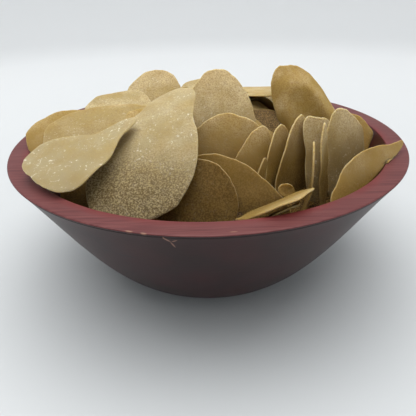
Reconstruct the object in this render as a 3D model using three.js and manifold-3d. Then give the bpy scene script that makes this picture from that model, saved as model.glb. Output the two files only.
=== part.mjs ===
import * as THREE from 'three';
import { mergeVertices } from 'three/addons/utils/BufferGeometryUtils.js';
import Module from 'manifold-3d';

// A turned wooden bowl heaped with dried sago crisps. Millimetres, +Z up.
// The origin is the centre of the bowl's foot, and -Y is the side that faces the viewer.

// ---- driving dimensions of the bowl ----
const RIM_RADIUS = 127;
const BOWL_HEIGHT = 92;
const RIM_WIDTH = 12;
const FOOT_RADIUS = 53;
const FLOOR_THICKNESS = 13;
const FLOOR_RADIUS = 40;
const RIM_EDGE = 0.8;
const BOWL_SIDES = 52;
const WALL_STEPS = 8;

// Where the wall's two bending points lie, as shares of the way out and of the way up.
const OUTSIDE_BENDS = { low: [0.4, 0.04], high: [0.77, 0.71] };
const INSIDE_BENDS = { low: [0.45, 0.17], high: [0.77, 0.68] };

// ---- driving dimensions of the heap ----
const SLAB_THICKNESS = 2.6;
const CLEARANCE = 0.35;
const MOUND_CENTRE = 92;
const MOUND_EDGE = 80;
const MOUND_SLOPE = 0.09;
const MOUND_RADIUS = 95;
const MOUND_LUMP = 3;
const MOUND_SIDES = 28;
const POCKET_AZIMUTH = 108;
const POCKET_SPREAD = 16;
const POCKET_DEPTH = 16;
const MOUND_STEPS = [1, 0.94, 0.8, 0.6, 0.35];
const CRISP_STRIPS = 6;
const ROLL_STEPS = 12;
const OVAL_FULLNESS = 2.15;
const CURL_START = 0.15;
const BACK_TAPER = 0.12;
const BACK_BEND = -22;

const rad = THREE.MathUtils.degToRad;
const wasm = await Module();
wasm.setup();

// ---- the bowl's section ----

// A cubic curve of the section, from the foot or the floor out to the rim.
function wallCurve(startRadius, startHeight, endRadius, bends) {
  const bendPoint = ([out, up]) => {
    return new THREE.Vector2(THREE.MathUtils.lerp(startRadius, endRadius, out), up * BOWL_HEIGHT);
  };
  return new THREE.CubicBezierCurve(
    new THREE.Vector2(startRadius, startHeight),
    bendPoint(bends.low),
    bendPoint(bends.high),
    new THREE.Vector2(endRadius, BOWL_HEIGHT - RIM_EDGE),
  );
}

const MOUTH_RADIUS = RIM_RADIUS - RIM_WIDTH;
const outerWall = wallCurve(FOOT_RADIUS, 0, RIM_RADIUS, OUTSIDE_BENDS);
const innerWall = wallCurve(FLOOR_RADIUS, FLOOR_THICKNESS, MOUTH_RADIUS, INSIDE_BENDS);

// The section grown by some distance: up and sideways from the wood, away from its middle line.
function bowlProfile(grow) {
  const outside = outerWall.getPoints(WALL_STEPS).map((p) => new THREE.Vector2(p.x + grow, p.y - grow));
  const inside = innerWall.getPoints(WALL_STEPS).map((p) => new THREE.Vector2(p.x - grow, p.y + grow));
  return [
    new THREE.Vector2(0, -grow),
    ...outside,
    new THREE.Vector2(RIM_RADIUS - RIM_EDGE + grow, BOWL_HEIGHT + grow),
    new THREE.Vector2(MOUTH_RADIUS + RIM_EDGE - grow, BOWL_HEIGHT + grow),
    ...inside.reverse(),
    new THREE.Vector2(0, FLOOR_THICKNESS + grow),
  ];
}

// A lathe turns about Y, so its shape is stood up to turn about Z.
function turned(profile, sides) {
  const geometry = new THREE.LatheGeometry(profile, sides);
  geometry.rotateX(Math.PI / 2);
  return weld(geometry);
}

// ---- solids ----

// Leaves position only, so that neighbouring faces share their corners, and drops the triangles that
// a lathe folds flat on its axis.
function weld(geometry) {
  geometry.deleteAttribute('normal');
  geometry.deleteAttribute('uv');
  const welded = mergeVertices(geometry, 1e-4);
  const corners = welded.index.array;
  const kept = [];
  for (let i = 0; i < corners.length; i += 3) {
    const [a, b, c] = corners.slice(i, i + 3);
    if (a !== b && b !== c && c !== a) kept.push(a, b, c);
  }
  welded.setIndex(kept);
  return welded;
}

function toSolid(geometry) {
  const mesh = new wasm.Mesh({
    numProp: 3,
    vertProperties: new Float32Array(geometry.attributes.position.array),
    triVerts: new Uint32Array(geometry.index.array),
  });
  return new wasm.Manifold(mesh);
}

function toGeometry(solid) {
  const mesh = solid.getMesh();
  const geometry = new THREE.BufferGeometry();
  geometry.setAttribute('position', new THREE.BufferAttribute(mesh.vertProperties, 3));
  geometry.setIndex(new THREE.BufferAttribute(mesh.triVerts, 1));
  geometry.computeVertexNormals();
  return geometry;
}

// ---- the mound that fills the bowl under the crisps ----

// Height of the mound's top: a low dome with lumps that slopes down to the viewer, and a hollow
// beside the wall at the right rear.
function moundTop(radius, azimuth) {
  const out = Math.min(radius / MOUND_RADIUS, 1);
  const dome = MOUND_EDGE + (MOUND_CENTRE - MOUND_EDGE) * (1 - out * out);
  const lump = MOUND_LUMP * out * Math.sin(3 * azimuth + 1) * Math.cos(2 * azimuth);
  const aside = THREE.MathUtils.radToDeg(azimuth) - POCKET_AZIMUTH;
  const pocket = POCKET_DEPTH * out ** 4 * Math.exp(-((aside / POCKET_SPREAD) ** 2));
  return dome + lump - pocket - MOUND_SLOPE * radius * Math.cos(azimuth);
}

// Azimuth runs from -Y, the viewer's side, towards +X.
function azimuthOf(x, y) {
  return Math.atan2(x, -y);
}

// A turned solid from the floor up the wall and back over the top, whose top is then set to moundTop.
function moundGeometry() {
  const lowest = MOUND_EDGE - POCKET_DEPTH - MOUND_LUMP;
  const wall = innerWall.getPoints(WALL_STEPS).filter((p) => p.y < lowest);
  const under = wall.map((p) => new THREE.Vector2(p.x - CLEARANCE, p.y + CLEARANCE));
  const over = MOUND_STEPS.map((s) => new THREE.Vector2(s * MOUND_RADIUS, MOUND_EDGE));
  const profile = [
    new THREE.Vector2(0, FLOOR_THICKNESS + CLEARANCE),
    ...under,
    ...over,
    new THREE.Vector2(0, MOUND_EDGE),
  ];
  const geometry = turned(profile, MOUND_SIDES);
  const position = geometry.attributes.position;
  for (let i = 0; i < position.count; i += 1) {
    if (Math.abs(position.getZ(i) - MOUND_EDGE) < 1e-3) {
      const x = position.getX(i);
      const y = position.getY(i);
      position.setZ(i, moundTop(Math.hypot(x, y), azimuthOf(x, y)));
    }
  }
  return geometry;
}

// ---- one crisp ----

// Outline at an angle from the long axis: a full oval, drawn in towards its far end by egg.
function outlinePoint(angle, { size, egg = 0 }) {
  const [length, width] = size;
  const power = 2 / OVAL_FULLNESS;
  const across = Math.sign(Math.sin(angle)) * Math.abs(Math.sin(angle)) ** power;
  const along = Math.sign(Math.cos(angle)) * Math.abs(Math.cos(angle)) ** power;
  return [across * (1 - egg * along) * (width / 2), along * (length / 2)];
}

// Rolls a flat distance q into a curve whose slope grows steadily to bend / 2 at either end,
// and by a further curl past the middle of the far half. Returns where q lands.
function rolled(q, half, bend, curl) {
  let out = 0;
  let up = 0;
  for (let i = 0; i < ROLL_STEPS; i += 1) {
    const s = ((i + 0.5) / ROLL_STEPS) * (q / half);
    const far = Math.max(s - CURL_START, 0) / (1 - CURL_START);
    const slope = rad(bend / 2) * s + rad(curl) * far * far;
    out += (Math.cos(slope) * q) / ROLL_STEPS;
    up += (Math.sin(slope) * q) / ROLL_STEPS;
  }
  return [out, up];
}

// Three directions of a crisp: n out of its face, t along it and s across it. The face looks to an
// azimuth and an elevation, and spin turns the crisp clockwise in its own plane.
function directions([azimuth, elevation], spin) {
  const [a, e, g] = [rad(azimuth), rad(elevation), rad(spin)];
  const n = new THREE.Vector3(Math.sin(a) * Math.cos(e), -Math.cos(a) * Math.cos(e), Math.sin(e));
  const rise = new THREE.Vector3(-Math.sin(a) * Math.sin(e), Math.cos(a) * Math.sin(e), Math.cos(e));
  const side = new THREE.Vector3().crossVectors(rise, n);
  const t = rise.clone().multiplyScalar(Math.cos(g)).addScaledVector(side, Math.sin(g));
  const s = side.clone().multiplyScalar(Math.cos(g)).addScaledVector(rise, -Math.sin(g));
  return { n, t, s };
}

// A point on the crisp's edge: the flat outline at an angle, rolled, put in its place and offset.
function edgePoint(crisp, angle, offset) {
  const { at, size, face, spin, bend = 0, along = false, curl = 0 } = crisp;
  const [x, y] = outlinePoint(angle, crisp);
  const { n, t, s } = directions(face, spin);
  const [q, rest] = along ? [y, x] : [x, y];
  const [out, up] = rolled(q, (along ? size[0] : size[1]) / 2, bend, curl);
  const [px, py] = along ? [rest, out] : [out, rest];
  const point = new THREE.Vector3(...at);
  return point.addScaledVector(s, px).addScaledVector(t, py).addScaledVector(n, up + offset);
}

// A closed slab. A rolled sheet is straight across its bend, so its face is cut into flat strips
// there, each between two edge points on either side; the back is the same, and walls join them.
function crispSolid(crisp) {
  const sides = 2 * CRISP_STRIPS;
  const start = crisp.along ? 0 : Math.PI / 2;
  const turns = Array.from({ length: sides }, (_, i) => start + (2 * Math.PI * i) / sides);
  const face = turns.map((angle) => edgePoint(crisp, angle, SLAB_THICKNESS / 2));
  const reverse = turns.map((angle) => edgePoint(crisp, angle, -SLAB_THICKNESS / 2));
  const opposite = (i) => (sides - i) % sides;
  const triangles = [];
  const quad = (a, b, c, d) => triangles.push([a, b, c], [a, c, d]);
  for (let i = 0; i < CRISP_STRIPS; i += 1) {
    quad(opposite(i), opposite(i + 1), i + 1, i);
    quad(sides + i, sides + i + 1, sides + opposite(i + 1), sides + opposite(i));
  }
  for (let i = 0; i < sides; i += 1) {
    const next = (i + 1) % sides;
    quad(sides + next, sides + i, i, next);
  }
  const solidTriangles = triangles.filter(([a, b, c]) => a !== b && b !== c && c !== a);
  const geometry = new THREE.BufferGeometry().setFromPoints([...face, ...reverse]);
  geometry.setIndex(solidTriangles.flat());
  return toSolid(geometry);
}

// ---- where the crisps lie ----

// Crisps on the viewer's side and on top: centre, length and width, where the face looks, and spin.
const lying = [
  { at: [-66, -54, 108], size: [80, 48], face: [-22, 73], spin: 24, egg: 0.34, along: true, curl: -25 },
  { at: [-31, -55, 104], size: [98, 60], face: [0, 56], spin: 22, egg: 0.42, bend: -60 },
  { at: [-32, 12, 110], size: [66, 50], face: [-5, 50], spin: 5, egg: 0.1, bend: -40 },
  { at: [-56, 6, 107], size: [66, 46], face: [-10, 68], spin: 72, bend: -20 },
  { at: [-60, -18, 102], size: [84, 50], face: [-5, 66], spin: 80, egg: 0.1, bend: -15 },
  { at: [-82, -10, 99], size: [64, 46], face: [-15, 66], spin: 74, along: true, bend: -20 },
  { at: [10, -2, 99], size: [88, 50], face: [3, 42], spin: 0, egg: 0.15, bend: -15 },
  { at: [13, -38, 87], size: [72, 56], face: [6, 48], spin: 22, bend: -10 },
  { at: [20, -54, 83], size: [66, 34], face: [-12, 35], spin: 16, egg: 0.35, bend: -15 },
  { at: [5, -70, 75], size: [70, 52], face: [8, 45], spin: -58, along: true, bend: -20 },
  { at: [-12, -79, 83], size: [50, 58], face: [-4, 42], spin: 0, egg: 0.1, bend: -20 },
  { at: [42, 42, 104], size: [80, 50], face: [0, 80], spin: 80, bend: -10 },
];

// Crisps that stand on edge between the others at the right, and the ones that lean on the rim there.
const standing = [
  { at: [43, -50, 85], size: [62, 34], face: [50, 12], spin: 20, egg: 0.1, bend: 10 },
  { at: [52, -46, 78], size: [86, 52], face: [55, 8], spin: 20, egg: 0.1, bend: 20 },
  { at: [69, -35, 85], size: [64, 44], face: [25, 25], spin: 4, egg: 0.1, bend: -20 },
  { at: [71, -46, 84], size: [64, 48], face: [72, 5], spin: 0, egg: 0.1, bend: 10 },
  { at: [83, -33, 89], size: [58, 50], face: [35, 15], spin: 12, bend: -15 },
  { at: [94, -46, 89], size: [60, 28], face: [-110, 66], spin: -52, egg: 0.35, along: true },
  { at: [30, -94, 88], size: [48, 40], face: [-140, 55], spin: -83 },
  { at: [87, -8, 84], size: [50, 44], face: [0, 40], spin: 24, egg: 0.1, bend: -10 },
  { at: [53, 2, 88], size: [72, 44], face: [-35, 22], spin: -2, egg: -0.1, bend: 60 },
  { at: [70, 10, 98], size: [84, 38], face: [10, 30], spin: -33, egg: -0.1, bend: 20 },
];

// A row of crisps that lie round the back of the heap and slope outwards, none quite like the next.
function backRow({ count, radius, height, slope, start, stop, size, spin, swing }) {
  return Array.from({ length: count }, (_, k) => {
    const sway = Math.sin(2.4 * k + count);
    const azimuth = THREE.MathUtils.lerp(start, stop, k / (count - 1));
    const out = radius + 4 * sway;
    return {
      at: [out * Math.sin(rad(azimuth)), -out * Math.cos(rad(azimuth)), height + 3 * Math.cos(3.1 * k)],
      size: [size[0] + 5 * sway, size[1] + 3 * Math.cos(1.7 * k)],
      face: [azimuth + 8 * sway, slope + 5 * Math.cos(2.1 * k)],
      spin: spin + swing * Math.sin(1.9 * k + count),
      egg: BACK_TAPER,
      bend: BACK_BEND,
    };
  });
}

const outerRow = {
  count: 6, radius: 79, height: 97, slope: 72, start: 122, stop: 262, size: [76, 50], spin: 88, swing: 18,
};
const innerRow = {
  count: 3, radius: 54, height: 101, slope: 68, start: 125, stop: 250, size: [80, 52], spin: 60, swing: 30,
};
const topRow = {
  count: 2, radius: 26, height: 105, slope: 74, start: 160, stop: 215, size: [78, 52], spin: 80, swing: 20,
};

// ---- the heap ----

// The mound and every crisp as one body, clear of the wood, with the pockets between crisps filled.
function heapSolid() {
  const wood = toSolid(turned(bowlProfile(CLEARANCE), BOWL_SIDES));
  const rows = [outerRow, innerRow, topRow].flatMap(backRow);
  const crisps = [...lying, ...standing, ...rows].map(crispSolid);
  const joined = crisps.reduce((heap, crisp) => heap.add(crisp), toSolid(moundGeometry()));
  const bodies = joined.subtract(wood).decompose();
  return bodies.reduce((largest, body) => (body.volume() > largest.volume() ? body : largest));
}

function namedMesh(name, geometry, material) {
  const mesh = new THREE.Mesh(geometry, material);
  mesh.name = name;
  return mesh;
}

const stainedWood = new THREE.MeshStandardMaterial({ color: '#5a3f3d', roughness: 0.55, metalness: 0 });
const driedSago = new THREE.MeshStandardMaterial({ color: '#bfa878', roughness: 0.85, metalness: 0 });

const bowlOfCrisps = new THREE.Group();
bowlOfCrisps.add(
  namedMesh('bowl', turned(bowlProfile(0), BOWL_SIDES), stainedWood),
  namedMesh('crisp_heap', toGeometry(heapSolid()), driedSago),
);

export default bowlOfCrisps;
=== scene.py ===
# %% [markdown]
# # A bowl of dried sago crisps
#
# The real thing is a turned wooden bowl, 254 mm across and 92 mm high, stained a dark red-brown. It is
# heaped with large oval crisps of dried sago starch, each about a millimetre thick. Sixty are made
# here, which is as many as show from any side.
#
# The frame loaded here holds the plain solids of the bowl and of the whole heap at their real size. The
# lesson puts a smooth turned bowl in place of the first, and single crisps over a small core in place of
# the second. It stays inside the frame's box.

# %% The frame and the tools
from dataclasses import dataclass, replace

import bpy
import numpy as np
from mathutils import Matrix, Vector


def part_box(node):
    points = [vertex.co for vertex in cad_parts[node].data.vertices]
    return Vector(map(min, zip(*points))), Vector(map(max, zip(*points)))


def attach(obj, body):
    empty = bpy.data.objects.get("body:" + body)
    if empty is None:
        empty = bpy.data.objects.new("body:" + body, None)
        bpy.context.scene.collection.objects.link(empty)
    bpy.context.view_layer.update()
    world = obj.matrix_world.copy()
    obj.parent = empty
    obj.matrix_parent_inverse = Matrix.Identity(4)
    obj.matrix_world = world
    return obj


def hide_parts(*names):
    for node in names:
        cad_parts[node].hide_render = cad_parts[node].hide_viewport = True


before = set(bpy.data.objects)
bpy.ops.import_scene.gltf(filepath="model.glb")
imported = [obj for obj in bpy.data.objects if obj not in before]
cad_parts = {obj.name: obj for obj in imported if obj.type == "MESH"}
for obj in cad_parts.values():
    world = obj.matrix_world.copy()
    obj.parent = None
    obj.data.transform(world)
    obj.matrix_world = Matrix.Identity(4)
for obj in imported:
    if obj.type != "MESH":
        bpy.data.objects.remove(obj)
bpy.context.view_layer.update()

MM = 0.001
scene = bpy.context.scene


# %% [markdown]
# ## From arrays to a mesh
#
# Every shape below is worked out by numpy as a grid of points in millimetres. A grid becomes faces by
# joining each point to its neighbours, and `new_piece` puts points and faces into a Blender mesh in
# metres. Marks are extra numbers on the points, such as how close a point is to an edge, which the
# materials read later. Working on whole arrays keeps this quick and short.

# %% Grids, pieces and marks
def grid_quads(numbers):
    """Quads between neighbours of a 2-D array of point numbers: (here, right, right and up, up)."""
    here, right = numbers[:-1, :-1], numbers[:-1, 1:]
    up, right_up = numbers[1:, :-1], numbers[1:, 1:]
    return np.stack([here, right, right_up, up], -1).reshape(-1, 4)


def new_piece(name, points, faces, marks):
    """A smooth mesh object from points in millimetres, faces as lists, and {mark: a number per point}."""
    mesh = bpy.data.meshes.new(name)
    mesh.from_pydata(points * MM, [], faces)
    for mark, values in marks.items():
        mesh.attributes.new(mark, "FLOAT", "POINT").data.foreach_set("value", values.astype(np.float32))
    mesh.polygons.foreach_set("use_smooth", np.ones(len(mesh.polygons), bool))
    mesh.validate()
    mesh.update()
    piece = bpy.data.objects.new(name, mesh)
    scene.collection.objects.link(piece)
    print(f"{name}: {len(mesh.vertices)} points, {sum(len(f) - 2 for f in faces)} triangles")
    return piece


def smooth_step(value, start, stop):
    """0 below start, 1 above stop, and between them the share t of the way turned into 3t2 - 2t3."""
    t = np.clip((value - start) / (stop - start), 0, 1)
    return t * t * (3 - 2 * t)


# %% [markdown]
# ## The camera
#
# The photograph was taken from in front, a little above the heap. Its two rim ellipses and the bowl's
# outline fix the camera: 275 mm in front of the axis, 188 mm up, looking 29 degrees down, on a lens of
# about 36 mm. A matrix is used because the turn about the view axis comes first and the tilt after it.

# %% Camera
CAMERA_PLACE = (0.0, -275.0, 188.0)
CAMERA_TILT_DOWN = 29.19
CAMERA_TURN = 0.155
CAMERA_ROLL = -1.40
LENS_MM = 36.35
SENSOR_MM = 36.0

camera = bpy.data.objects.new("camera", bpy.data.cameras.new("camera"))
camera.data.lens = LENS_MM
camera.data.sensor_width = SENSOR_MM
camera.matrix_world = (
    Matrix.Translation([c * MM for c in CAMERA_PLACE])
    @ Matrix.Rotation(np.radians(CAMERA_TURN), 4, "Z")
    @ Matrix.Rotation(np.radians(90 - CAMERA_TILT_DOWN), 4, "X")
    @ Matrix.Rotation(np.radians(CAMERA_ROLL), 4, "Z")
)
scene.collection.objects.link(camera)
scene.camera = camera
print("camera at, mm:", CAMERA_PLACE)

# %% [markdown]
# ## The turned bowl
#
# A bowl like this is turned on a lathe, so one section carried round the axis is its whole shape. The
# section has a flat foot, an outer wall that swells and then runs out straight, a wide flat rim and an
# inner wall that follows the outer one. The walls are the same cubic curves as in the frame, with many
# more points. What the frame leaves out is added: rounded edges, the fine groove that a turner cuts
# under the rim, and a rim that hand sanding has left a fraction of a millimetre uneven.

# %% Section of the bowl
bowl_low, bowl_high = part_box("bowl")
RIM_RADIUS = bowl_high.x / MM
BOWL_HEIGHT = bowl_high.z / MM
RIM_WIDTH = 12.0
MOUTH_RADIUS = RIM_RADIUS - RIM_WIDTH
FOOT_RADIUS = 53.0
FLOOR_RADIUS = 40.0
FLOOR_THICKNESS = 13.0
RIM_EDGE = 0.8
OUTSIDE_BENDS = ((0.4, 0.04), (0.77, 0.71))
INSIDE_BENDS = ((0.45, 0.17), (0.77, 0.68))
WALL_STEPS = 90
BOWL_SIDES = 288


def wall_curve(start, end, bends):
    """Cubic curve of radius and height from start to end. Each bend is (share of the way out, share of
    the bowl's height). Point at t: (1-t)^3 start + 3t(1-t)^2 bend 1 + 3t^2(1-t) bend 2 + t^3 end."""
    low, high = [
        np.array([start[0] + out * (end[0] - start[0]), up * BOWL_HEIGHT]) for out, up in bends
    ]
    t = np.linspace(0, 1, WALL_STEPS)[:, None]
    return (
        (1 - t) ** 3 * np.array(start)
        + 3 * t * (1 - t) ** 2 * low
        + 3 * t**2 * (1 - t) * high
        + t**3 * np.array(end)
    )


def arc(centre, radius, start, stop, steps):
    """Points at radius round centre, from the angle start to the angle stop in degrees."""
    angle = np.radians(np.linspace(start, stop, steps))[:, None]
    return np.array(centre) + radius * np.hstack([np.cos(angle), np.sin(angle)])


EDGE_HEIGHT = BOWL_HEIGHT - RIM_EDGE
outer_wall = wall_curve((FOOT_RADIUS, 0), (RIM_RADIUS, EDGE_HEIGHT), OUTSIDE_BENDS)
inner_wall = wall_curve((FLOOR_RADIUS, FLOOR_THICKNESS), (MOUTH_RADIUS, EDGE_HEIGHT), INSIDE_BENDS)


def wall_radius(height):
    """Radius of the inner wall at a height: the sampled curve read between its points."""
    return np.interp(height, inner_wall[:, 1], inner_wall[:, 0])


print("inner wall radius at 60, 80 and 90 mm:", wall_radius(np.array([60, 80, 90])).round(1))

# %% [markdown]
# The whole section, from the middle of the foot to the middle of the floor inside, is a list of runs of
# points. The foot and both edges of the rim are rounded by arcs. The groove is a dip of a third of a
# millimetre, a bell curve along the wall just under the rim, so the points lie close together there.

# %% Whole section
FOOT_EDGE = 1.2
FINE_BELOW_RIM = 4.0
GROOVE_BELOW = 1.6
GROOVE_HALF_WIDTH = 0.45
GROOVE_DEPTH = 0.35


def groove_share(height, half_width):
    """How deep in the groove a height is, 0 to 1: a bell curve round the groove's own height."""
    return np.exp(-(((BOWL_HEIGHT - GROOVE_BELOW - height) / half_width) ** 2))


foot_arc = arc((FOOT_RADIUS - FOOT_EDGE, FOOT_EDGE), FOOT_EDGE, -90, -20, 6)
outer_top = np.linspace(BOWL_HEIGHT - FINE_BELOW_RIM, EDGE_HEIGHT, 26)
outer_fine = np.column_stack([np.interp(outer_top, outer_wall[:, 1], outer_wall[:, 0]), outer_top])
outer_fine[:, 0] -= GROOVE_DEPTH * groove_share(outer_top, GROOVE_HALF_WIDTH)
rim_outer = arc((RIM_RADIUS - RIM_EDGE, EDGE_HEIGHT), RIM_EDGE, 8, 90, 7)
rim_inner = arc((MOUTH_RADIUS + RIM_EDGE, EDGE_HEIGHT), RIM_EDGE, 90, 172, 7)
rim_radii = np.linspace(rim_outer[-1, 0], rim_inner[0, 0], 12)[1:-1]
rim_top = np.column_stack([rim_radii, np.full(len(rim_radii), BOWL_HEIGHT)])
section = np.vstack([
    np.column_stack([np.linspace(0, FOOT_RADIUS - FOOT_EDGE, 8)[1:-1], np.zeros(6)]),
    foot_arc,
    outer_wall[(outer_wall[:, 1] > foot_arc[-1, 1]) & (outer_wall[:, 1] < outer_top[0] - 0.1)],
    outer_fine,
    rim_outer,
    rim_top,
    rim_inner,
    inner_wall[::-1][1:],
    np.column_stack([np.linspace(FLOOR_RADIUS, 0, 8)[1:-1], np.full(6, FLOOR_THICKNESS)]),
])
print("the section has", len(section), "points")

# %% [markdown]
# Blender's Spin tool or a Screw modifier would turn the section too. Here the turning is one line of
# numpy, so that the rim can be left uneven in the same step and the marks stay in step with the points.
# The marks tell the wood's finish where the rim, the groove and the inside are, and how far out on the
# rim a point is. The core and the floor are turned by the same functions later on.

# %% Turning
def turned_grid(profile, sides):
    """Points (row, side, 3) of a profile's radius r and height carried round: x = r sin a, y = -r cos a."""
    angle = np.linspace(0, 2 * np.pi, sides, endpoint=False)
    radius, height = profile[:, 0, None], profile[:, 1, None]
    return np.stack([radius * np.sin(angle), -radius * np.cos(angle), height + 0 * angle], -1)


def turned_faces(rows, sides):
    """Quads round a turned grid, closed on itself, and the fans that close both ends on the axis. The
    two points on the axis are numbered after the grid's own: first the start's, then the end's."""
    numbers = np.arange(rows * sides).reshape(rows, sides)
    ring = np.hstack([numbers, numbers[:, :1]])
    start, end = rows * sides, rows * sides + 1
    first = np.column_stack([np.full(sides, start), ring[0, 1:], ring[0, :-1]])
    last = np.column_stack([np.full(sides, end), ring[-1, :-1], ring[-1, 1:]])
    return grid_quads(ring).tolist() + first.tolist() + last.tolist()


print("turned, the section has", len(turned_faces(len(section), BOWL_SIDES)), "faces")

# %% [markdown]
# A rim that was sanded by hand is never quite flat. Three slow waves round it lower it by up to an
# eighth of a millimetre, so that light runs along it unevenly.

# %% Bowl mesh
RIM_UNEVEN = 0.12
UNEVEN_BELOW = 6.0
WAVES_HIGH = 2.2


def turned_bowl():
    """The section turned round the axis. Every height near the rim is then lowered by a sum of three
    slow waves round the bowl, made to lie between 0 and 1, times the rim's unevenness."""
    grid = turned_grid(section, BOWL_SIDES)
    angle = np.linspace(0, 2 * np.pi, BOWL_SIDES, endpoint=False)
    waves = np.sin(5 * angle + 1) + 0.7 * np.sin(11 * angle + 2) + 0.5 * np.sin(23 * angle)
    near_rim = smooth_step(section[:, 1], BOWL_HEIGHT - UNEVEN_BELOW, BOWL_HEIGHT)[:, None]
    grid[..., 2] -= RIM_UNEVEN * near_rim * (waves / WAVES_HIGH + 1) / 2
    ends = np.array([[0, 0, 0], [0, 0, FLOOR_THICKNESS]])
    points = np.vstack([grid.reshape(-1, 3), ends])
    rows = len(section)
    radius, height = section[:, 0], section[:, 1]
    on_rim = smooth_step(height, BOWL_HEIGHT - 0.9, BOWL_HEIGHT - 0.3)
    rim_middle = (RIM_RADIUS + MOUTH_RADIUS) / 2
    in_groove = groove_share(height, 1.3 * GROOVE_HALF_WIDTH) * (radius > rim_middle)
    middle_row = np.argmin(np.abs(radius - rim_middle) - height)
    inside = np.arange(rows) > middle_row
    out = np.clip((radius - MOUTH_RADIUS) / RIM_WIDTH, 0, 1)
    spread = {"rim": on_rim, "groove": in_groove, "inside": inside & (on_rim < 0.5), "out": out}
    marks = {k: np.concatenate([np.repeat(v, BOWL_SIDES), v[[0, -1]]]) for k, v in spread.items()}
    return new_piece("turned_bowl", points, turned_faces(rows, BOWL_SIDES), marks)


bowl = turned_bowl()

# %% [markdown]
# ## One crisp
#
# Sago starch is cooked to a paste, spread thin, cut into ovals and dried in the sun. As an oval dries
# it rolls a little, its edge turns wavy, and its face keeps slow dents. So one crisp is worked out in
# four steps: a flat oval outline, a roll, small waves and dents, and a thickness that rounds off to
# nothing at the edge. Its grid is a square pressed into a disc, which keeps the cells even and has no
# pole in the middle.

# %% The disc grid
EDGE_RINGS = (0.94, 0.976, 0.992, 1.0)
EDGE_FULLNESS = (1.0, 0.97, 0.72, 0.0)


def disc_grid(cells):
    """Share of the way out and angle for a square grid pressed into a disc: the larger of the two
    square coordinates is the share out, and the smaller over the larger, times 45 degrees, turns the
    angle away from its axis. The outer rings lie close together, so that the edge can be round."""
    inside = np.linspace(-EDGE_RINGS[0], EDGE_RINGS[0], cells - 5)
    outer = np.array(EDGE_RINGS[1:])
    line = np.concatenate([-outer[::-1], inside, outer])
    a, b = np.meshgrid(line, line, indexing="ij")
    a_leads = np.abs(a) >= np.abs(b)
    large, small = np.where(a_leads, a, b), np.where(a_leads, b, a)
    turn = np.pi / 4 * small / np.where(large == 0, 1, large)
    from_a, from_b = np.where(a >= 0, 0, np.pi) + turn, np.where(b >= 0, 1, -1) * np.pi / 2 - turn
    return np.maximum(np.abs(a), np.abs(b)), np.where(a_leads, from_a, from_b)


def shell_faces(size):
    """Faces of two square grids of points that share their outer ring: the second grid's inner points
    are numbered after the whole first grid, and its faces are turned over."""
    top = np.arange(size * size).reshape(size, size)
    under = top.copy()
    under[1:-1, 1:-1] = size * size + np.arange((size - 2) ** 2).reshape(size - 2, size - 2)
    return np.vstack([grid_quads(top), grid_quads(under)[:, ::-1]])


print("a 48-cell disc has", disc_grid(48)[0].size, "points on its face")

# %% [markdown]
# A crisp is described by what a cook could measure, in millimetres and degrees:
#
# - `at` is its middle, `size` its length and width, `face` the azimuth and elevation that it faces, and
#   `spin` turns it in its own plane. Azimuth runs from the viewer's side towards the right.
# - `egg` narrows its far end, `reach` says how far its edge reaches in eight directions from the far end
#   round, as shares of a plain oval, and `uneven` how wavy the edge is.
# - `bend` is the angle it turns through from end to end, and `roll` the direction of that, from its
#   length. A positive bend cups it towards its face. `cup` lifts its sides, `flare` leans its lip back.
# - `tone` is how pale it is: partly how pale it dried and partly painted light, set paler on steep
#   crisps, which the lamp above lights less. `frost` is how much loose starch it kept, and its haze is
#   partly a painted sheen, strongest on the crisps on top. `sugar` is how grainy its near end is, on a
#   brown that is partly painted shade, and `shade` is the least painted shade it gets, from 0 on top of
#   the heap to 2 at the bottom.
# - `bed` is the heap that it was dropped on, if it was, and `seed` starts its own unevenness.

# %% What describes a crisp
@dataclass
class Crisp:
    at: tuple
    size: tuple
    face: tuple
    spin: float = 0.0
    egg: float = 0.1
    bend: float = -10.0
    roll: float = 90.0
    reach: tuple = (1, 1, 1, 1, 1, 1, 1, 1)
    cup: float = 0.0
    flare: float = 0.0
    uneven: float = 0.05
    tone: float = 0.5
    frost: float = 0.06
    sugar: float = 0.0
    shade: float = 0.0
    bed: object = None
    seed: int = 0


print("a plain crisp:", Crisp((0, 0, 0), (76, 49), (0, 90)))

# %% [markdown]
# The paste spreads into an oval a little fuller than an ellipse, and drying pulls it out of true. Slow
# waves round the edge give each crisp its own shape, and quick ones a worn edge. They are sums of sines,
# which come back to where they began after one turn, so the edge has no seam.

# %% Outline
OVAL_FULLNESS = 2.15
OUTLINE_WAVES = ((2, 0.5), (3, 0.35), (5, 0.2), (9, 0.12))
NIBBLE_WAVES = ((13, 1.0), (21, 0.8), (34, 0.6))
NIBBLE = 0.004


def waves_round(angle, waves, phase):
    """Sum of sines round the edge. Each wave is (how many there are round the edge, how high it is)."""
    return sum(high * np.sin(count * angle + start) for (count, high), start in zip(waves, phase))


def outline(crisp, share, angle):
    """Flat x and y. A full oval (power 2.15) is drawn in towards its far end by egg. It is then scaled by
    the smoothest curve of cosines through the eight reaches, and by one plus the seeded waves round it."""
    power = 2 / OVAL_FULLNESS
    cosine, sine = np.cos(angle), np.sin(angle)
    y = np.sign(cosine) * np.abs(cosine) ** power
    x = np.sign(sine) * np.abs(sine) ** power * (1 - crisp.egg * y)
    phase = np.random.default_rng(crisp.seed).uniform(0, 2 * np.pi, 8)
    wave = waves_round(angle, OUTLINE_WAVES, phase)
    nibble = waves_round(angle, NIBBLE_WAVES, phase[4:])
    eighths = angle[..., None] - np.arange(8) * np.pi / 4
    pull = 1 + 2 * (np.cos(eighths) + np.cos(2 * eighths) + np.cos(3 * eighths)) + np.cos(4 * eighths)
    reach = share * (pull @ np.array(crisp.reach) / 8) * (1 + crisp.uneven * wave + NIBBLE * nibble)
    return x * reach * crisp.size[1] / 2, y * reach * crisp.size[0] / 2


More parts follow.
